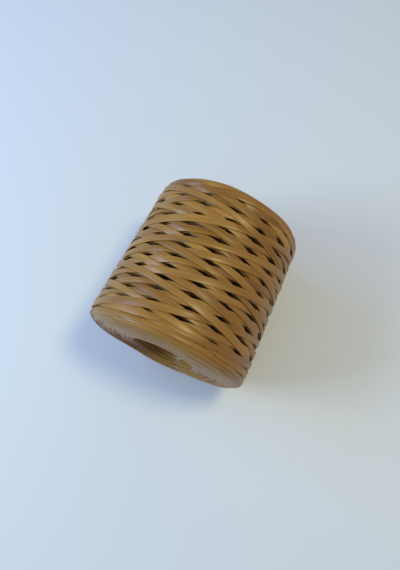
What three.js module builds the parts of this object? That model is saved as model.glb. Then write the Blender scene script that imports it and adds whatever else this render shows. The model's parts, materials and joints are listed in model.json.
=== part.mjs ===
// A ball of raffia yarn: flat ribbon wound criss-cross, without a core, into a soft hollow cylinder.
// It lies on its side, a little squashed by its own weight, with a flat spot under it.
// Millimetres, +Z up. Y runs along the hollow, and the end at -Y is the wider one.
import * as THREE from 'three';

// The wound form
const LENGTH = 124.5;
const HALF_WIDTH = 59.4; // across X, half way along
const HALF_HEIGHT = 57.2; // along Z, half way along
const TAPER = 0.036; // the share by which the -Y end is wider than the middle
const HOLLOW_HALF_WIDTH = 24;
const HOLLOW_HALF_HEIGHT = 27.5;
const END_DEPTH = 7.5; // how far from each end the side starts to turn over
const RIM_DEPTH = 2.2; // how far the hollow's edge lies inside the proudest ring of an end
const PROUDEST = 0.48; // where that ring lies: 0 at the hollow, 1 at the side
const END_POWER = 2.5; // 2 makes an end's section elliptic, and more makes it squarer
const RIM_POWER = 3.4; // the same, from the proudest ring to the hollow
const END_LUMP = 0.7; // how uneven the ends are
const FLAT_SPOT_HALF_WIDTH = 13;

// The winding: two sets of ribbons cross, and leave a diamond gap between each four ribbons
const GAP_COLUMNS = 16; // columns of gaps round the ball, each half a step from its neighbours
const FIRST_COLUMN_ANGLE = THREE.MathUtils.degToRad(81);
const LINE_PITCH = 4.4; // along Y, from one line of gaps to the next
const MIDDLE_LINE_Y = -0.8;
const LAST_LINE = 11; // lines of gaps on each side of the middle one
const GAP_REACH = 0.38; // from a gap's middle to its corners, as a share of a column or a line
const GAP_DEPTH = 3.2;
const GAP_UNEVENNESS = 0.3; // as a share of the gap's depth
const RIBBON_CROWN = 0.75; // how far crossings stand over the rest
const DRIFT = 0.9; // how far a ribbon wanders from its true helix

// The mesh
const GAP_STEPS = [0, GAP_REACH, 1 - GAP_REACH]; // from one column or line to the next
const STEPS_AROUND = GAP_COLUMNS * GAP_STEPS.length;
const SHOULDER_STEPS = 7;
const FACE_STEPS = 6;
const HOLLOW_STEPS = 4;

const COLUMN_ANGLE = (2 * Math.PI) / GAP_COLUMNS;
const SIDE_END = LENGTH / 2 - END_DEPTH; // the side is straight between this and its opposite
const MIDDLE_DROP = HALF_HEIGHT * (1 - Math.sqrt(1 - (FLAT_SPOT_HALF_WIDTH / HALF_WIDTH) ** 2));

// The distance from the middle line to an ellipse, at an angle from +X towards +Z.
function ellipse(angle, halfWidth, halfHeight) {
  return 1 / Math.hypot(Math.cos(angle) / halfWidth, Math.sin(angle) / halfHeight);
}

// How much wider the ball is at y than half way along.
function widening(y) {
  return 1 - (TAPER * y) / SIDE_END;
}

function outerRadius(angle, y) {
  return ellipse(angle, HALF_WIDTH, HALF_HEIGHT) * widening(y);
}

function hollowRadius(angle) {
  return ellipse(angle, HOLLOW_HALF_WIDTH, HOLLOW_HALF_HEIGHT);
}

// Turns an angle, a distance from the middle line and y into a point. The middle line rises with
// the widening, so that the underside lies level, and what would lie lower is pressed flat.
function place(angle, radius, y) {
  const middle = HALF_HEIGHT * widening(y) - MIDDLE_DROP;
  const z = middle + radius * Math.sin(angle);
  return new THREE.Vector3(radius * Math.cos(angle), y, Math.max(z, 0));
}

// How open the gap nearest to a place in the winding is: 1 in its middle and 0 from its edges on.
// Gaps lie where the numbers of the column and the line add up to an even one.
function gapOpening(column, line) {
  let opening = 0;
  for (const c of [Math.floor(column), Math.ceil(column)]) {
    for (const l of [Math.floor(line), Math.ceil(line)]) {
      const away = (Math.abs(column - c) + Math.abs(line - l)) / GAP_REACH;
      if ((c + l) % 2 === 0 && Math.abs(l) <= LAST_LINE) opening = Math.max(opening, 1 - away);
    }
  }
  return opening;
}

// How far crossings stand proud: the most where two ribbons' middles cross.
function crown(column, line) {
  const onRising = Math.sin((Math.PI / 2) * (column - line)) ** 2;
  const onFalling = Math.sin((Math.PI / 2) * (column + line)) ** 2;
  return RIBBON_CROWN * (onRising + onFalling - 1);
}

// How far the ribbons lie inside the smooth form. The gaps differ in depth. Under the ball
// the winding is pressed flat, and towards the ends it closes up.
function relief(column, line) {
  const angle = FIRST_COLUMN_ANGLE + column * COLUMN_ANGLE;
  const pressed = THREE.MathUtils.smoothstep(-Math.sin(angle), 0.9, 0.965);
  const uneven = 1 + GAP_UNEVENNESS * Math.sin(5 * angle + line) * Math.cos(3 * angle - 0.7 * line);
  const closing = 1 - THREE.MathUtils.smoothstep(Math.abs(line), LAST_LINE, LAST_LINE + 1);
  const depth = GAP_DEPTH * uneven * gapOpening(column, line);
  return (1 - pressed) * (depth - closing * crown(column, line));
}

// A point on the side, at a place in the winding. The ribbons wander a little along Y,
// and less towards the ends.
function onSide(column, line) {
  const angle = FIRST_COLUMN_ANGLE + column * COLUMN_ANGLE;
  const held = 1 - (line / (LAST_LINE + 1)) ** 4;
  const wander = DRIFT * held * Math.sin(3 * angle + 0.9 * line);
  const y = MIDDLE_LINE_Y + line * LINE_PITCH + wander;
  return place(angle, outerRadius(angle, y) - relief(column, line), y);
}

// A quarter of a superellipse, from (1, 0) at turn 0 to (0, 1) at turn 1.
function quarter(turn, power) {
  const swing = (turn * Math.PI) / 2;
  return [Math.cos(swing) ** (2 / power), Math.sin(swing) ** (2 / power)];
}

// A point on an end. side is -1 or 1 for the end at -Y or +Y, share is 1 at the side and 0 at the
// hollow, and out is how far it lies outside the straight side's end.
function onEnd(column, share, out, side) {
  const angle = FIRST_COLUMN_ANGLE + column * COLUMN_ANGLE;
  const lump = END_LUMP * Math.sin(3 * angle + side) * Math.sin(2 * angle);
  const outer = outerRadius(angle, side * SIDE_END);
  const inner = hollowRadius(angle);
  const y = side * (SIDE_END + out * (1 + lump / END_DEPTH));
  return place(angle, inner + share * (outer - inner), y);
}

// A point on an end's shoulder, from the side (turn 0) to the proudest ring (turn 1).
function onShoulder(column, turn, side) {
  const [across, out] = quarter(turn, END_POWER);
  return onEnd(column, PROUDEST + (1 - PROUDEST) * across, END_DEPTH * out, side);
}

// A point on an end's face, from the proudest ring (turn 0) to the hollow (turn 1).
function onFace(column, turn, side) {
  const [out, across] = quarter(turn, RIM_POWER);
  return onEnd(column, PROUDEST * (1 - across), END_DEPTH - RIM_DEPTH * (1 - out), side);
}

// A point on the wall of the hollow.
function inHollow(column, y) {
  const angle = FIRST_COLUMN_ANGLE + column * COLUMN_ANGLE;
  return place(angle, hollowRadius(angle), y);
}

// The rows of points, each a closed ring: along the side from -Y to +Y, over the end at +Y,
// back through the hollow and over the end at -Y. A row is a function from a column to a point.
function makeRows() {
  const rows = [(column) => onSide(column, -LAST_LINE - GAP_REACH)];
  for (let line = -LAST_LINE; line < LAST_LINE; line++) {
    for (const step of GAP_STEPS) {
      rows.push((column) => onSide(column, line + step));
    }
  }
  rows.push((column) => onSide(column, LAST_LINE));
  rows.push((column) => onSide(column, LAST_LINE + GAP_REACH));
  for (let i = 1; i <= SHOULDER_STEPS; i++) {
    rows.push((column) => onShoulder(column, i / SHOULDER_STEPS, 1));
  }
  for (let i = 1; i <= FACE_STEPS; i++) {
    rows.push((column) => onFace(column, i / FACE_STEPS, 1));
  }
  for (let i = 1; i < HOLLOW_STEPS; i++) {
    const y = THREE.MathUtils.lerp(SIDE_END, -SIDE_END, i / HOLLOW_STEPS);
    rows.push((column) => inHollow(column, y));
  }
  for (let i = FACE_STEPS; i > 0; i--) {
    rows.push((column) => onFace(column, i / FACE_STEPS, -1));
  }
  for (let i = SHOULDER_STEPS; i > 0; i--) {
    rows.push((column) => onShoulder(column, i / SHOULDER_STEPS, -1));
  }
  return rows;
}

// Joins the rows into one closed skin. Each four-sided patch is split along the diagonal
// that stands prouder, so that the gaps keep their edges.
function skin(rows) {
  const columns = Array.from({ length: STEPS_AROUND }, (_, k) => {
    return Math.floor(k / GAP_STEPS.length) + GAP_STEPS[k % GAP_STEPS.length];
  });
  const points = rows.map((row) => columns.map(row));
  const index = [];
  const fromMiddle = (p) => Math.hypot(p.x, p.z - HALF_HEIGHT);
  for (let r = 0; r < rows.length; r++) {
    const next = (r + 1) % rows.length;
    for (let k = 0; k < STEPS_AROUND; k++) {
      const right = (k + 1) % STEPS_AROUND;
      const [a, b] = [r * STEPS_AROUND + k, r * STEPS_AROUND + right];
      const [c, d] = [next * STEPS_AROUND + right, next * STEPS_AROUND + k];
      const alongAC = fromMiddle(points[r][k]) + fromMiddle(points[next][right]);
      const alongBD = fromMiddle(points[r][right]) + fromMiddle(points[next][k]);
      if (alongAC > alongBD) index.push(a, d, c, a, c, b);
      else index.push(a, d, b, b, d, c);
    }
  }
  const geometry = new THREE.BufferGeometry().setFromPoints(points.flat());
  geometry.setIndex(index);
  geometry.computeVertexNormals();
  return geometry;
}

const raffia = new THREE.MeshStandardMaterial({ color: 0xb08a54, roughness: 0.6, metalness: 0 });

const ball = new THREE.Mesh(skin(makeRows()), raffia);
ball.name = 'raffia_ball';

const group = new THREE.Group();
group.add(ball);

export default group;
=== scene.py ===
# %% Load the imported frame
import json
import math

import bpy
import numpy as np
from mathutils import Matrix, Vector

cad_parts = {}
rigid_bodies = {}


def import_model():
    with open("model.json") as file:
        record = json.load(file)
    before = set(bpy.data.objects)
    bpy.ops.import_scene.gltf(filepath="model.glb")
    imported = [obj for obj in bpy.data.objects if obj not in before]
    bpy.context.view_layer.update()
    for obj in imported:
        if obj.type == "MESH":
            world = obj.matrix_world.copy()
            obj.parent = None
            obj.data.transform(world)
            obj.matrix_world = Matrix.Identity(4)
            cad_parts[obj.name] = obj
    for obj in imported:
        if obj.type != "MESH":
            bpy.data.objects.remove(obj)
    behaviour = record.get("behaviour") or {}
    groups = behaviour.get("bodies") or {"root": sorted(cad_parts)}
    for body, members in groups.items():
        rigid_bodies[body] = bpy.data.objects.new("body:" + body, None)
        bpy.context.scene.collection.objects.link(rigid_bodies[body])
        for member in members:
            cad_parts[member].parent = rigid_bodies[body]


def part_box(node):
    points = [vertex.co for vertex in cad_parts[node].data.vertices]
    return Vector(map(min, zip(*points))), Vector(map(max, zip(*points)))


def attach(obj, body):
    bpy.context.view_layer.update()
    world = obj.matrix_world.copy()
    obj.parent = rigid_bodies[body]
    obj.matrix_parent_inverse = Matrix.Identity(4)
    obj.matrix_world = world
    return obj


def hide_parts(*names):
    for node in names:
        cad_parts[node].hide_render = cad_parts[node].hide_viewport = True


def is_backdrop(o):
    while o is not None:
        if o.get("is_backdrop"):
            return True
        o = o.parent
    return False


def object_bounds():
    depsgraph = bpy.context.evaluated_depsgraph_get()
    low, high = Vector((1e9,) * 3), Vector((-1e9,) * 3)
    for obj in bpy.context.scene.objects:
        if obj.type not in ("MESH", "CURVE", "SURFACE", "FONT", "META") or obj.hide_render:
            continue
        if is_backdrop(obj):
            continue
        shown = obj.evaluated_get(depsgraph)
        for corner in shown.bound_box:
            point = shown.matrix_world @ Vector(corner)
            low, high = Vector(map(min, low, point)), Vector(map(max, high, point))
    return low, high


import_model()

CAD_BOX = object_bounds()
print("solid box, mm:", [round(1000 * (high - low), 1) for low, high in zip(*CAD_BOX)])

# %% [markdown]
# # A ball of raffia yarn
# The real ball is one long flat ribbon. A machine winds it slantwise to and fro over a turning
# rod, and then the rod is drawn out, so that a soft hollow cylinder is left. It could be drawn
# as a cylinder with a picture of ribbons on it, but the ribbons' edges, crossings and the deep
# gaps between them are what makes it look wound. So this script winds it as the machine does:
# the ribbon's path is a formula, and the ribbon is a thin closed strip that is carried along it.

# %% The sizes that drive everything, in metres
MM = 0.001
LENGTH = 124.5 * MM
HALF_WIDTH = 59.4 * MM  # across X, half way along
HALF_HEIGHT = 57.2 * MM
TAPER = 0.036  # the share by which the -Y end is wider than the middle
HOLLOW_HALF_WIDTH = 24 * MM
HOLLOW_HALF_HEIGHT = 27.5 * MM
END_DEPTH = 7.5 * MM  # how far from each end the side starts to turn over
RIM_DEPTH = 2.2 * MM  # how far the hollow's edge lies inside the proudest ring of an end
PROUDEST = 0.48  # where that ring lies: 0 at the hollow, 1 at the side
END_POWER = 2.5  # 2 makes an end's section elliptic, and more makes it squarer
RIM_POWER = 3.4  # the same, from the proudest ring to the hollow
END_LUMP = 0.7 * MM
FLAT_SPOT_HALF_WIDTH = 13 * MM
SIDE_END = LENGTH / 2 - END_DEPTH
RIM_Y = LENGTH / 2 - RIM_DEPTH
MIDDLE_DROP = HALF_HEIGHT * (1 - math.sqrt(1 - (FLAT_SPOT_HALF_WIDTH / HALF_WIDTH) ** 2))

node_low, node_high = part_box("raffia_ball")
solid_length = round((node_high[1] - node_low[1]) / MM, 1)
print("solid length, mm:", solid_length, "without the ends' lumps:", LENGTH / MM)

# %% [markdown]
# ## The smooth form
# Everything lies on one smooth skin, and is placed by three numbers: an angle round the ball, a
# way along the skin, and a height above it. The way along starts half way along the side, goes
# over an end and back through the hollow, so that a ribbon can follow it round the shoulder. The
# section of an end is a superellipse, which has no plain formula for its arc length. So its
# length is summed once into a table, and every point is read from that table.

# %% The section's outline, walked from the side over an end into the hollow
OUTLINE_STEPS = 400  # on each curved quarter
STRAIGHT_STEPS = 40


def quarter(power):
    """A quarter of a superellipse |u|^p + |v|^p = 1, from (1, 0) to (0, 1)."""
    swing = np.linspace(0, np.pi / 2, OUTLINE_STEPS)
    return np.abs(np.cos(swing)) ** (2 / power), np.sin(swing) ** (2 / power)


def walk_outline():
    """Tables of the way along, the share across the wall (1 outside, 0 in the hollow), y, and
    the outward normal's two parts. The shoulder and the face of the end are two quarters that
    meet at the proudest ring."""
    across, out = quarter(END_POWER)
    kept, inward = quarter(RIM_POWER)
    side = np.linspace(0, SIDE_END, STRAIGHT_STEPS)[:-1]
    wall = np.linspace(RIM_Y, 0, STRAIGHT_STEPS)[1:]
    shoulder_share, face_share = PROUDEST + (1 - PROUDEST) * across, PROUDEST * (1 - inward[1:])
    shoulder_y, face_y = SIDE_END + END_DEPTH * out, LENGTH / 2 - RIM_DEPTH * (1 - kept[1:])
    share = np.concatenate([np.ones_like(side), shoulder_share, face_share, np.zeros_like(wall)])
    y = np.concatenate([side, shoulder_y, face_y, wall])
    inner = (HOLLOW_HALF_WIDTH + HOLLOW_HALF_HEIGHT) / 2
    radius = inner + share * (HALF_WIDTH - inner)
    way = np.concatenate([[0], np.cumsum(np.hypot(np.diff(radius), np.diff(y)))])
    slope_out, slope_up = np.gradient(y, way), -np.gradient(radius, way)
    size = np.hypot(slope_out, slope_up)
    return way, share, y, slope_out / size, slope_up / size


WAY, SHARE, SKIN_Y, NORMAL_OUT, NORMAL_UP = walk_outline()
WHOLE_WAY = WAY[-1]
END_WAY = WHOLE_WAY - SIDE_END - RIM_Y
print("way along the skin, mm:", round(WHOLE_WAY / MM, 1), "over the end:", round(END_WAY / MM, 1))

# %% A point on the skin


def ellipse(angle, half_width, half_height):
    """The distance from the middle line to an ellipse, at an angle from +X towards +Z."""
    return 1 / np.hypot(np.cos(angle) / half_width, np.sin(angle) / half_height)


def middle_height(y):
    """The height of the middle line, which rises towards the wide end."""
    return HALF_HEIGHT * (1 - TAPER * y / SIDE_END) - MIDDLE_DROP


def on_skin(angle, way, height):
    """The points at an angle, a way along the skin and a height above it. The sign of the way
    says which end it leads to. Under the ball, the skin is cut flat by the floor. The ends are
    a little lumpy: their depth varies by the lump times sin(3 a + end) sin(2 a)."""
    end = np.where(way < 0, -1.0, 1.0)
    walked = np.abs(way)
    lump = END_LUMP * np.sin(3 * angle + end) * np.sin(2 * angle)
    y = np.interp(walked, WAY, SKIN_Y)
    y = end * (y + lump * np.maximum(y - SIDE_END, 0) / END_DEPTH)
    side_y = np.clip(y, -SIDE_END, SIDE_END)
    outer = ellipse(angle, HALF_WIDTH, HALF_HEIGHT) * (1 - TAPER * side_y / SIDE_END)
    down_to_floor = middle_height(side_y) / np.maximum(-np.sin(angle), 0.01)  # never by nothing
    outer = np.minimum(outer, down_to_floor)
    inner = ellipse(angle, HOLLOW_HALF_WIDTH, HOLLOW_HALF_HEIGHT)
    radius = inner + np.interp(walked, WAY, SHARE) * (outer - inner)
    radius = radius + height * np.interp(walked, WAY, NORMAL_OUT)
    y = y + end * height * np.interp(walked, WAY, NORMAL_UP)
    z = middle_height(y) + radius * np.sin(angle)
    return np.stack([radius * np.cos(angle), y, z], axis=-1)


def in_hollow(angle, way, height):
    """The same, but the way starts half way through the hollow."""
    return on_skin(angle, np.where(way < 0, -1.0, 1.0) * (WHOLE_WAY - np.abs(way)), height)


# %% [markdown]
# ## The camera, the floor and the light
# The camera stands where the photographer stood: above the ball, looking steeply down at it, with
# a wide lens, which is why the near end looks larger. It comes first, so that every piece can be
# judged from there. The floor is a plain pale sheet. Two soft bluish lamps stand for a window and
# a warmer one for a room lamp high on the other side, and a dim sky fills the shadows. Each lamp's
# shadow takes the other's colour, as it does in the photograph.

# %% The camera
CAMERA_AZIMUTH = math.radians(24.94)
CAMERA_ELEVATION = math.radians(71.44)
CAMERA_DISTANCE = 398.3 * MM
CAMERA_AIM = (1.8 * MM, -1.0 * MM, 56.0 * MM)
FOCAL_LENGTH = 32.84  # for a 36 mm sensor on the picture's long side


def make_camera():
    """Looks at the aim from a distance, along back = (sin a cos e, -cos a cos e, sin e)."""
    camera = bpy.data.objects.new("camera", bpy.data.cameras.new("camera"))
    bpy.context.collection.objects.link(camera)
    camera.data.lens = FOCAL_LENGTH
    flat, up = math.cos(CAMERA_ELEVATION), math.sin(CAMERA_ELEVATION)
    back = np.array([math.sin(CAMERA_AZIMUTH) * flat, -math.cos(CAMERA_AZIMUTH) * flat, up])
    camera.location = np.array(CAMERA_AIM) + CAMERA_DISTANCE * back
    camera.rotation_euler = (math.pi / 2 - CAMERA_ELEVATION, 0, CAMERA_AZIMUTH)
    camera.data.clip_start = 0.01
    bpy.context.scene.camera = camera
    return camera


print("camera at", [round(v, 3) for v in make_camera().location])

# %% Meshes from arrays


def make_mesh(name, points, faces, uv=None, **values):
    """A smooth-shaded object at the origin from an array of points and an array of four-sided
    faces. uv holds a pair for each point, and each named value holds a number for each."""
    mesh = bpy.data.meshes.new(name)
    points = np.asarray(points, np.float32).reshape(-1, 3)
    faces = np.asarray(faces, np.int32).reshape(-1, 4)
    mesh.vertices.add(len(points))
    mesh.vertices.foreach_set("co", points.ravel())
    mesh.loops.add(faces.size)
    mesh.loops.foreach_set("vertex_index", faces.ravel())
    mesh.polygons.add(len(faces))
    mesh.polygons.foreach_set("loop_start", np.arange(0, faces.size, 4, dtype=np.int32))
    mesh.update(calc_edges=True)
    mesh.polygons.foreach_set("use_smooth", np.ones(len(faces), bool))
    if uv is not None:
        layer = mesh.uv_layers.new(name="along_and_across")
        uv = np.asarray(uv, np.float32).reshape(-1, 2)
        layer.data.foreach_set("uv", uv[faces.ravel()].ravel())
    for value_name, numbers in values.items():
        layer = mesh.attributes.new(value_name, "FLOAT", "POINT")
        layer.data.foreach_set("value", np.asarray(numbers, np.float32).ravel())
    mesh.validate()
    piece = bpy.data.objects.new(name, mesh)
    bpy.context.collection.objects.link(piece)
    return piece


def ring_faces(rings, around, closed=False):
    """Faces between neighbouring rings of points, where each ring closes on itself. Closed rows
    of rings join the last ring to the first."""
    row = np.arange(rings if closed else rings - 1)[:, None] * around
    beyond = (row + around) % (rings * around)
    here, beside = np.arange(around), np.roll(np.arange(around), -1)
    return np.stack([row + here, row + beside, beyond + beside, beyond + here], axis=-1)


# %% The floor and the lamps
FLOOR_SIZE = 6.0


def make_floor():
    """A square sheet at z = 0, with its points counted anticlockwise, so that it faces up."""
    half = FLOOR_SIZE / 2
    corners = [(-half, -half, 0), (half, -half, 0), (half, half, 0), (-half, half, 0)]
    sheet = make_mesh("floor", corners, [[0, 1, 2, 3]])
    sheet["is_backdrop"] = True
    return sheet


def make_lamp(name, place, size, power, colour):
    """A square area lamp at a place, turned to look at the ball."""
    data = bpy.data.lights.new(name, "AREA")
    data.size, data.energy, data.color = size, power, colour
    lamp = bpy.data.objects.new(name, data)
    bpy.context.collection.objects.link(lamp)
    lamp.location = place
    away = np.array(place) - np.array(CAMERA_AIM)
    tilt = math.acos(away[2] / np.linalg.norm(away))
    lamp.rotation_euler = (tilt, 0, math.atan2(away[1], away[0]) + math.pi / 2)
    return lamp


LAMPS = [  # name, place, size, power in watts, colour
    ("near_window", (-0.82, -0.47, 0.66), 0.45, 6.4, (0.62, 0.84, 1.0)),
    ("side_window", (-0.94, 0.0, 0.66), 0.45, 4.0, (0.2, 0.43, 1.0)),
    ("room_lamp", (0.34, 0.2, 1.08), 0.25, 4.2, (1.0, 0.97, 0.53)),
]
SKY_COLOUR = (0.23, 0.26, 0.38, 1)

floor = make_floor()
for lamp in LAMPS:
    make_lamp(*lamp)

world = bpy.data.worlds.new("room")
world.use_nodes = True
world.node_tree.nodes["Background"].inputs["Color"].default_value = SKY_COLOUR
world.node_tree.nodes["Background"].inputs["Strength"].default_value = 1.0
bpy.context.scene.world = world
bpy.context.scene.view_settings.view_transform = "Standard"

# %% [markdown]
# ## The ribbon's path
# The winding is drawn on squared paper that wraps the ball: columns run round it, and lines along
# it. The ribbon climbs one line for each column until it nears an end, turns in a soft bend, and
# falls one line for each column to the other end. One trip to and fro takes six columns more than
# three whole turns, so each trip runs beside the one before. After eight trips the ribbons lie
# evenly, two columns apart, and the pattern closes. The gaps lie where the column's and the
# line's number add up to an even one. The columns and lines were counted in the photograph.

# %% Columns, lines and trips
GAP_COLUMNS = 16
COLUMN_ANGLE = 2 * math.pi / GAP_COLUMNS
FIRST_COLUMN_ANGLE = math.radians(81)
LINE_PITCH = 4.4 * MM
MIDDLE_LINE_Y = -0.8 * MM
NEAR_LINES, FAR_LINES = 13, 14  # where the straight runs would meet, at -Y and at +Y
START_COLUMN = (NEAR_LINES + 1) % 2  # ribbons cross where column and line add up to an odd number
TRIP = 2 * (NEAR_LINES + FAR_LINES)  # columns that one trip to and fro takes
TRIPS = GAP_COLUMNS // 2
WHOLE_PATH = TRIP * TRIPS
BEND = 1.2  # how softly the ribbon turns round, in columns
JOINT = 8.4  # columns into the path, where the loop is joined: on the flat spot, out of sight


def soft_corner(x):
    """Almost |x|, but with a soft bend in place of the corner: |x| + b exp(-|x| / b)."""
    return np.abs(x) + BEND * np.exp(-np.abs(x) / BEND)


def winding(steps_per_column):
    """The path of a whole layer, a closed loop: the columns passed, the line, and how many
    columns ago it turned round at the +Y end, which is less than nothing on the way there. It has
    one more step before its start and after its end, for slopes."""
    passed = JOINT + np.arange(-1, WHOLE_PATH * steps_per_column + 1) / steps_per_column
    phase = passed % TRIP
    after_far = phase - TRIP / 2
    after_near = np.where(after_far > 0, TRIP - phase, phase)
    from_near, from_far = soft_corner(after_near) - NEAR_LINES, FAR_LINES - soft_corner(after_far)
    return passed, np.where(after_near < TRIP / 4, from_near, from_far), after_far


passed, line, after_far = winding(steps_per_column=4)
print("columns passed:", passed[-1], "line from", round(line.min(), 2), "to", round(line.max(), 2))

# %% [markdown]
# ## Over and under
# Two ribbons cross in every column, and the one that was laid later lies on top. Because the
# path is a formula, the order follows from it too: the number of the line and of the column at a
# crossing say in which trip the other ribbon passed. A ribbon that lies over one ribbon and
# under the next sinks smoothly between them.

# %% The order of laying
UNDO_TRIP = pow(TRIP // 2, -1, TRIPS)  # turns a shift in the pattern into a trip's number
CHANGE = 0.6  # columns that a ribbon takes to change from over to under


def trip_of(shift):
    """Which trip runs with a given odd shift, in columns, from the first one."""
    return (UNDO_TRIP * np.round(shift / 2)).astype(int) % TRIPS


def smooth_step(x):
    """x x (3 - 2 x) between 0 and 1, and level beyond them."""
    x = np.clip(x, 0, 1)
    return x * x * (3 - 2 * x)


def share_over(coordinate, order_of, own_order):
    """How far a ribbon lies on top, from 0 to 1, where the ribbons that cross it lie at the
    odd values of a coordinate. Half way between two of them it takes the mean of both."""
    nearest = 2 * np.round((coordinate - 1) / 2) + 1
    off = coordinate - nearest
    other = nearest + 2 * np.where(off < 0, -1, 1)
    weight = smooth_step((1 - np.abs(off)) / CHANGE + 0.5)
    over_nearest = own_order > order_of(nearest)
    over_other = own_order > order_of(other)
    return weight * over_nearest + (1 - weight) * over_other


def lift_at(column, line, own_order, outbound):
    """The share to which a point of a ribbon is lifted by what lies under it. outbound is 1 on
    the way to +Y, 0 on the way back, and between them where the ribbon turns round."""
    def order_back(total):
        return 2 * trip_of(total - (2 * FAR_LINES + NEAR_LINES + START_COLUMN)) + 1

    def order_out(difference):
        return 2 * trip_of(-difference - (NEAR_LINES + START_COLUMN))

    over_back = share_over(line + column, order_back, own_order)
    over_out = share_over(line - column, order_out, own_order)
    return outbound * over_back + (1 - outbound) * over_out


# %% [markdown]
# ## The ribbon
# A raffia ribbon is a strip of crinkled, paper-like stuff, about five millimetres wide. Its back
# is slightly rounded, its edges curl down, and a lengthwise fold runs along it. A curve with a flat
# bevel could do this, but it can't give each point its own height. So the strip is a grid: one way
# along the path and the other way round its thin section.

# %% A strip along a path
RIBBON_THICKNESS = 0.8 * MM
RIBBON_LIFT = 0.95 * MM  # how much higher a ribbon lies where it crosses over another
BELLY_REACH = 0.9  # the belly's corners, as a share of the half width


def section(backs, bellies):
    """The places across a ribbon, from -1 to 1, round its closed section: first over its back
    and then, with fewer points, under its belly. The second row is 1 on the belly."""
    back = np.sin(np.linspace(-1, 1, backs) * math.pi / 2)
    belly = np.linspace(BELLY_REACH, -BELLY_REACH, bellies)
    return np.concatenate([back, belly]), np.concatenate([0 * back, 1 + 0 * belly])


def strip(path_angle, path_way, half_width, height, skin, backs, bellies):
    """Points of ribbons carried along paths. The path arrays are (ribbons, steps). height is a
    function of across, angle and way, each (ribbons, steps, places). A place across the ribbon
    lies half_width * across to the side of the path, square to it, in the unrolled skin."""
    across, belly = section(backs, bellies)
    from_middle = skin(path_angle, path_way, 0 * path_way) - [0, 0, HALF_HEIGHT]
    radius = np.hypot(from_middle[..., 0], from_middle[..., 2])
    run_round = np.gradient(path_angle, axis=-1) * radius
    run_along = np.gradient(path_way, axis=-1)
    run = np.hypot(run_round, run_along)
    side = half_width[..., None] * across
    angle = path_angle[..., None] - side * (run_along / run / radius)[..., None]
    way = path_way[..., None] + side * (run_round / run)[..., None]
    top = height(np.broadcast_to(across, angle.shape), angle, way)
    points = skin(angle, way, top - belly * RIBBON_THICKNESS)
    length = np.broadcast_to(np.cumsum(run, axis=-1)[..., None], angle.shape)
    return points, np.stack([length, np.broadcast_to(across / 2 + 0.5, angle.shape)], -1)


def draw_ends_together(ribbons):
    """Adds a ring to each end of each ribbon, with all its points in one place."""
    shape = (len(ribbons), 1, *ribbons.shape[2:])
    rings = ribbons[:, :1], ribbons[:, -1:]
    first, last = (np.broadcast_to(ring.mean(axis=2, keepdims=True), shape) for ring in rings)
    return np.concatenate([first, ribbons, last], axis=1)


def strips_piece(name, parts, closed):
    """Joins strips, each (points, uv, tone, shade) with points as (ribbons, steps, places, 3),
    into one object. Closed ribbons meet their own start, and others are drawn together at both
    ends."""
    joined, count = [], 0
    for points, uv, tone, shade in parts:
        tone = np.broadcast_to(tone[..., None, None], (*points.shape[:3], 1))
        if not closed:
            points, uv, tone = map(draw_ends_together, (points, uv, tone))
        ribbons, steps, places, _ = points.shape
        first = np.arange(ribbons)[:, None, None, None] * (steps * places) + count
        faces = (ring_faces(steps, places, closed)[None] + first).reshape(-1, 4)
        shades = np.full(tone.size, shade)
        joined.append((points.reshape(-1, 3), faces, uv.reshape(-1, 2), tone.ravel(), shades))
        count += tone.size
    points, faces, uv, tone, shade = map(np.concatenate, zip(*joined))
    return make_mesh(name, points, faces, uv, tone=tone, shade=shade)


WAVES = 6  # sines in a wandering line
WAVE_SHARE = 0.6  # how high each of them is, as a share of the line's size


def wander(at, shortest, longest, size, seed):
    """A smooth random line: a sum of sines, whose wave lengths in columns lie between the two
    given. Each fits a whole number of times into the path, so the path's end meets its start."""
    rng = np.random.default_rng(seed)
    turns = 2 * math.pi * np.round(WHOLE_PATH / rng.uniform(shortest, longest, WAVES)) / WHOLE_PATH
    phases = rng.uniform(0, 2 * math.pi, WAVES)
    waves = (np.sin(at * turn + phase) for turn, phase in zip(turns, phases))
    return size * WAVE_SHARE * sum(waves)


# %% A whole wound layer
RIBBON_WIDTH = 5.15 * MM
TURN_ROUND = 1.6  # columns over which a ribbon changes from the outbound set to the other
SETTLE = 2.5  # columns over which the start of the yarn lies level
PRESSED_FROM, PRESSED_OVER = 0.86, 0.12  # where the floor presses the ribbons, by -sin(angle)
PRESSED_SINK = 1.2  # how far it presses them in, in lifts
PRESSED_FLAT = 0.7  # how much of their folds and rounding it takes
EDGE_CURL = 0.28 * MM
FOLD_LIMIT = 0.8  # how far a fold strays from the ribbon's middle, in half widths
FOLD_WIDTH = 0.35  # in half widths

# How finely a layer is drawn: steps for each column, and points over the back and the belly
FINE, COARSE, IN_HOLLOW = (12, 9, 3), (5, 5, 2), (6, 5, 2)

# How each of these wanders: the shortest and the longest wave in columns, and the size
LINE_WANDER = 3, 17, 0.075
WIDTH_WANDER = 4, 23, 0.09
FOLD_PLACE_WANDER = 9, 40, 0.9
FOLD_SIZE_WANDER = 5, 30, 0.24 * MM
CURL_WANDER = 3, 19, 0.3
TONE_WANDER = 3, 40, 0.65


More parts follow.
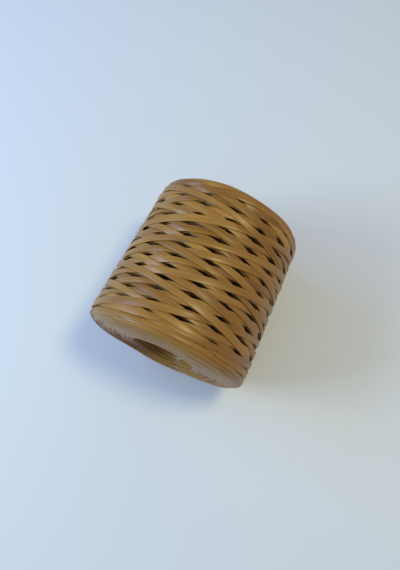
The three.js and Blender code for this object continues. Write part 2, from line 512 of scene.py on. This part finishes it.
def wound_layer(seed, skin, depth, drift, detail, shade):
    """One layer of the winding: its path wanders a little, its width varies, and its height is
    minus its depth, plus the lift at crossings, the rounded back curl (0.3 - |x| ** 3) and the
    fold. The drift is how far it lies beside the top layer, in columns."""
    steps_per_column, backs, bellies = detail
    passed, line, after_far = winding(steps_per_column)
    phase = passed % TRIP
    to_far = smooth_step(phase / TURN_ROUND + 0.5) * (1 - smooth_step(after_far / TURN_ROUND + 0.5))
    outbound = np.maximum(to_far, smooth_step((phase - TRIP) / TURN_ROUND + 0.5))
    order = 2 * (np.floor(passed / TRIP) % TRIPS) + (after_far > 0)
    from_start = np.minimum(passed % WHOLE_PATH, -passed % WHOLE_PATH)
    settled = smooth_step(from_start / SETTLE)
    line = line + wander(passed, *LINE_WANDER, seed)
    half_width = RIBBON_WIDTH / 2 * (1 + wander(passed, *WIDTH_WANDER, seed + 1))
    fold = np.clip(wander(passed, *FOLD_PLACE_WANDER, seed + 2), -FOLD_LIMIT, FOLD_LIMIT)
    fold_size = np.abs(wander(passed, *FOLD_SIZE_WANDER, seed + 3))
    curl = EDGE_CURL * (1 + wander(passed, *CURL_WANDER, seed + 4))

    def height(across, angle, way):
        lattice_column = (angle - FIRST_COLUMN_ANGLE) / COLUMN_ANGLE
        lattice_line = (way - MIDDLE_LINE_Y) / LINE_PITCH
        pressed = smooth_step((-np.sin(angle) - PRESSED_FROM) / PRESSED_OVER)
        lift = lift_at(lattice_column, lattice_line, order[:, None], outbound[:, None])
        lift = (1 - pressed) * (settled[:, None] * lift - 0.5) - pressed * PRESSED_SINK
        step = fold_size[:, None] * smooth_step((across - fold[:, None]) / FOLD_WIDTH)
        back = curl[:, None] * (0.3 - np.abs(across) ** 3)
        return -depth + RIBBON_LIFT * lift + (1 - PRESSED_FLAT * pressed) * (back + step)

    angle = FIRST_COLUMN_ANGLE + (START_COLUMN + passed + drift) * COLUMN_ANGLE
    way = MIDDLE_LINE_Y + line * LINE_PITCH
    points, uv = strip(angle[None], way[None], half_width[None], height, skin, backs, bellies)
    tone = wander(passed, *TONE_WANDER, seed + 5)
    return points[:, 1:-1], uv[:, 1:-1], tone[None, 1:-1], shade


top_layer = wound_layer(seed=11, skin=on_skin, depth=0, drift=0, detail=FINE, shade=0)
outer = strips_piece("outer_turns", [top_layer], closed=True)
print("outer turns:", len(outer.data.polygons), "faces")

# %% [markdown]
# ## The turns underneath
# Each layer lies almost exactly on the one below, so the gaps go deep and look nearly black. Five
# coarser layers and a plain body under them are enough, since nothing deeper can be seen. They are
# painted darker with their depth, as painted shade: little light that falls into a gap comes out.

# %% Lower layers and the body
LOWER_LAYERS = 5
LAYER_DEPTH = 1.15 * MM
LAYER_DRIFT = 0.02  # in columns for each layer, to one side and the other in turn
TOP_SHADE, LAYER_SHADE = 0.2, 0.13  # where the painted shade starts, and what each layer adds
BODY_DEPTH = 7.0 * MM  # under the side
BODY_END_DEPTH = 2.4 * MM  # under the ends, where only one layer covers it
BODY_CHANGE = 10 * MM  # the way from the one depth to the other
BODY_AROUND, BODY_ALONG = 96, 60
# painted shade: the body's tone and shade paint it an almost black brown
BODY_PAINTED_SHADE_TONE, BODY_SHADE = -0.8, 0.9


def lower_layer(n):
    """The n-th layer under the top one."""
    depth, drift = n * LAYER_DEPTH, LAYER_DRIFT * n * (-1) ** n
    return wound_layer(20 + 10 * n, on_skin, depth, drift, COARSE, TOP_SHADE + LAYER_SHADE * n)


def make_body():
    """The ball's inside: the skin at a depth, over both ends and through the hollow."""
    walk = np.linspace(0, WHOLE_WAY, BODY_ALONG + 1)
    way = np.concatenate([walk, -walk[-2:0:-1]])[:, None]
    angle = np.linspace(0, 2 * math.pi, BODY_AROUND, endpoint=False)
    over_end = smooth_step((np.abs(way) - SIDE_END) / BODY_CHANGE)
    depth = BODY_DEPTH + (BODY_END_DEPTH - BODY_DEPTH) * over_end
    angle, way, depth = np.broadcast_arrays(angle, way, depth)
    faces = ring_faces(*way.shape, closed=True)[..., ::-1]
    uv = np.stack([np.abs(way), np.full(way.shape, 0.5)], axis=-1)
    # painted shade: the body's colour is painted dark, since it lies deep under the gaps
    tone, shade = np.full(way.shape, BODY_PAINTED_SHADE_TONE), np.full(way.shape, BODY_SHADE)
    return make_mesh("wound_body", on_skin(angle, way, -depth), faces, uv, tone=tone, shade=shade)


lower_layers = [lower_layer(n) for n in range(1, LOWER_LAYERS + 1)]
lower = strips_piece("lower_turns", lower_layers, closed=True)
body = make_body()
print("lower turns:", len(lower.data.polygons), "body:", len(body.data.polygons))

# %% [markdown]
# ## The ends
# Where the ribbon turns round, it makes a short arc across the shoulder of the ball. Each layer
# leaves a ring of such arcs, and each ring lies a little further in than the next one wound, so an
# end looks like a rosette of overlapping ribbon edges. They are strips like the others, laid like
# roof tiles: the edge towards the hollow stands proud and covers the next arc.

# %% Rings of arcs
ARC_REACH = 1.75  # how far an arc runs to each side of its middle, in columns
ARC_STEPS, ARC_BACKS, ARC_BELLIES = 25, 7, 2
ARC_SPACING = 1.75 * MM
ARC_FIRST = 3.0 * MM  # from the middle of the side's last ribbon
ARC_LAST = SIDE_END + END_WAY + 8.0 * MM  # inside the hollow
ARC_ADVANCE = 0.37  # how far each ring is turned on from the one before, in columns
ARC_BOW = 1.0 * MM  # how much nearer to the side the tips lie than the middle
ARC_SINK = 0.2 * MM
TIP_SINK = 1.5 * MM  # how much deeper the tips go, under the arcs beside them
FIRST_TIP_RISE = 0.35 * MM  # how much the first tip is raised, and the last one lowered
ARC_LEAN = 0.8 * MM  # how much higher the edge towards the hollow lies than the arc's middle
ARC_HINGE = 0.6  # the place across an arc that the lean leaves at its height
ARC_FOLD, ARC_FOLD_WIDTH = 0.25 * MM, 0.3


def end_arcs(end, seed):
    """All arcs on one end: rings at even spacing over the shoulder, each with as many arcs as
    there are trips, slowly drifting round from ring to ring. place runs from -1 to 1 along an
    arc. The arc bows by place ** 2, and sinks by |place| ** 3 towards its tips."""
    rng = np.random.default_rng(seed)
    turning_line = (FAR_LINES if end > 0 else NEAR_LINES) - BEND
    first = turning_line * LINE_PITCH + end * MIDDLE_LINE_Y + ARC_FIRST
    rings = int((ARC_LAST - first) / ARC_SPACING)
    ring, arc = (number.reshape(-1, 1) for number in np.indices((rings, TRIPS)))

    def vary(low, high):
        return rng.uniform(low, high, ring.shape)

    place = np.linspace(-1, 1, ARC_STEPS)
    middle = 2 * arc + ARC_ADVANCE * ring + vary(-0.35, 0.35)
    slant = vary(-0.9, 0.9) * MM
    start = first + ring * ARC_SPACING + vary(-0.35, 0.35) * MM
    width = RIBBON_WIDTH / 2 * vary(0.85, 1.05)
    angle = (middle + place * ARC_REACH) * COLUMN_ANGLE
    way = start - ARC_BOW * place**2 + slant * place
    curl = vary(0.1, 0.4)[..., None] * MM
    crease = vary(-0.5, 0.7)[..., None]
    sink = ARC_SINK + TIP_SINK * np.abs(place) ** 3 + FIRST_TIP_RISE * place

    def height(across, angle, way):
        lean = ARC_LEAN * (across - ARC_HINGE)
        fold = ARC_FOLD * smooth_step((across - crease) / ARC_FOLD_WIDTH)
        back = curl * (0.3 - np.abs(across) ** 4)
        return lean + fold + back - sink[:, None]

    half_width = end * np.broadcast_to(width, angle.shape)
    points, uv = strip(angle, end * way, half_width, height, on_skin, ARC_BACKS, ARC_BELLIES)
    uv[..., 0] += vary(0, 3)[..., None]
    tone = vary(-0.7, 0.7) + 0 * place
    return points, uv, tone, 0


near_arcs = strips_piece("near_end_turns", [end_arcs(-1, 51)], closed=False)
far_arcs = strips_piece("far_end_turns", [end_arcs(1, 52)], closed=False)
print("arcs on an end:", len(near_arcs.data.polygons), "faces")

# %% The hollow's wall
WALL_DEPTH = 0.4 * MM
WALL_DRIFT = 0.2  # in columns
# painted shade: the hollow's wall is painted a touch darker
wall_layer = wound_layer(67, in_hollow, WALL_DEPTH, WALL_DRIFT, IN_HOLLOW, shade=0.05)
hollow = strips_piece("hollow_turns", [wall_layer], closed=True)
print("hollow turns:", len(hollow.data.polygons), "faces")

# %% [markdown]
# ## The finish
# Raffia ribbon is satin, golden tan, pleated and fibrous along its length, and no two stretches are
# quite the same tone. The pattern has to follow the ribbon round every bend, so it reads the
# ribbon's own map, which holds the length run and the place across. Shader sums are written as
# Python sums through a small class, so that they read like the formula they stand for.

# %% Shader sums


class Sum:
    """A number in a material, which can be added, taken away and multiplied like any other."""

    def __init__(self, finish, socket):
        self.finish, self.socket = finish, socket

    def math(self, operation, first, second):
        return self.finish.node("ShaderNodeMath", {"operation": operation}, {0: first, 1: second})

    def __add__(self, other):
        return self.math("ADD", self, other)

    def __sub__(self, other):
        return self.math("SUBTRACT", self, other)

    def __rsub__(self, other):
        return self.math("SUBTRACT", other, self)

    def __mul__(self, other):
        return self.math("MULTIPLY", self, other)

    __radd__, __rmul__ = __add__, __mul__


class Finish:
    """A material under construction."""

    def __init__(self, name):
        self.material = bpy.data.materials.new(name)
        self.material.use_nodes = True
        self.tree = self.material.node_tree
        self.shader = self.tree.nodes["Principled BSDF"]

    def node(self, kind, settings, values, output=0):
        """Adds a node, sets it up, and fills its sockets with values or links."""
        made = self.tree.nodes.new(kind)
        for name, value in settings.items():
            setattr(made, name, value)
        for name, value in values.items():
            self.fill(made.inputs[name], value)
        return Sum(self, made.outputs[output])

    def fill(self, socket, value):
        """Links a number or colour to a socket, or sets the socket to a plain value."""
        if isinstance(value, Sum):
            self.tree.links.new(value.socket, socket)
        else:
            socket.default_value = value

    def blend(self, share, first, second):
        """A colour between two colours."""
        settings = {"data_type": "RGBA", "clamp_factor": True}
        return self.node("ShaderNodeMix", settings, {0: share, 6: first, 7: second}, output=2)


def linear(v):
    """A screen's value from 0 to 255 as the linear number that Blender uses:
    ((v / 255 + 0.055) / 1.055) ** 2.4, and for the darkest values a straight line."""
    return ((v / 255 + 0.055) / 1.055) ** 2.4 if v > 10 else v / 3294.6


def colour(red, green, blue):
    """A colour given as a screen shows it."""
    return linear(red), linear(green), linear(blue), 1


# %% The raffia
LIGHT_TAN, DARK_TAN = colour(190, 138, 54), colour(138, 90, 18)
WARM_TAN = colour(146, 84, 8)
# painted shade: the colour that the deep turns are blended towards
PAINTED_SHADE_BROWN = colour(30, 15, 5)
SATIN = 0.55  # the weight of the satin coat
BUMP_HEIGHT = 0.7 * MM

# Noise on the ribbon: waves to a metre along it and to its width across it, and the detail
PLEATS = 10, 3.5, 2.0
FIBRES = 35, 14, 4.0
FINE_FIBRES = 160, 50, 2.0
PATCHES = 22, 1.2, 3.0


def raffia():
    """Pleats and fibres are noise that is stretched along the ribbon, and they also raise its
    back. Each turn's painted shade, from 0 to 1, paints the deep ones darker and takes their satin."""
    finish = Finish("raffia")
    inputs = finish.shader.inputs
    uv = finish.node("ShaderNodeUVMap", {"uv_map": "along_and_across"}, {})
    tone = finish.node("ShaderNodeAttribute", {"attribute_name": "tone"}, {}, output=2)
    shade = finish.node("ShaderNodeAttribute", {"attribute_name": "shade"}, {}, output=2)

    def noise(along, across, detail):
        values = {0: uv, 1: (along, across, 0)}
        stretched = finish.node("ShaderNodeVectorMath", {"operation": "MULTIPLY"}, values)
        values = {"Vector": stretched, "Scale": 1.0, "Detail": detail}
        return finish.node("ShaderNodeTexNoise", {}, values)

    pleats, fibres, fine, patches = (noise(*n) for n in (PLEATS, FIBRES, FINE_FIBRES, PATCHES))
    lightness = patches * 1.1 + pleats * 0.8 - 0.45 + tone * 0.28
    warmth = (fibres - 0.45) * 1.6
    relief = pleats * 1.3 + fibres * 0.45 + fine * 0.08
    top_colour = finish.blend(warmth, finish.blend(lightness, DARK_TAN, LIGHT_TAN), WARM_TAN)
    values = {"Strength": 0.8, "Distance": BUMP_HEIGHT, "Height": relief}
    # painted shade: deeper turns are painted towards the dark brown
    finish.fill(inputs["Base Color"], finish.blend(shade, top_colour, PAINTED_SHADE_BROWN))
    finish.fill(inputs["Roughness"], 0.42 + fine * 0.2)
    finish.fill(inputs["Normal"], finish.node("ShaderNodeBump", {}, values))
    finish.fill(inputs["Specular IOR Level"], 0.3)
    finish.fill(inputs["Coat Weight"], (1 - shade) * SATIN)
    finish.fill(inputs["Coat Roughness"], 0.32)
    return finish.material


def plain(name, tint, roughness):
    """A finish that is the same all over."""
    finish = Finish(name)
    finish.fill(finish.shader.inputs["Base Color"], tint)
    finish.fill(finish.shader.inputs["Roughness"], roughness)
    return finish.material


PIECES = outer, lower, body, near_arcs, far_arcs, hollow
raffia_finish = raffia()
for piece in PIECES:
    piece.data.materials.append(raffia_finish)
floor.data.materials.append(plain("floor_paper", colour(231, 231, 231), 0.6))
print("finishes:", [m.name for m in bpy.data.materials])

# %% Hand the pieces to the frame
for piece in PIECES:
    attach(piece, "root")
    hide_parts("raffia_ball")

boxes = {"cad": [list(c) for c in CAD_BOX], "visual": [list(c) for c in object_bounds()]}
print("visual box, mm:", [round((high - low) / MM, 1) for low, high in zip(*boxes["visual"])])
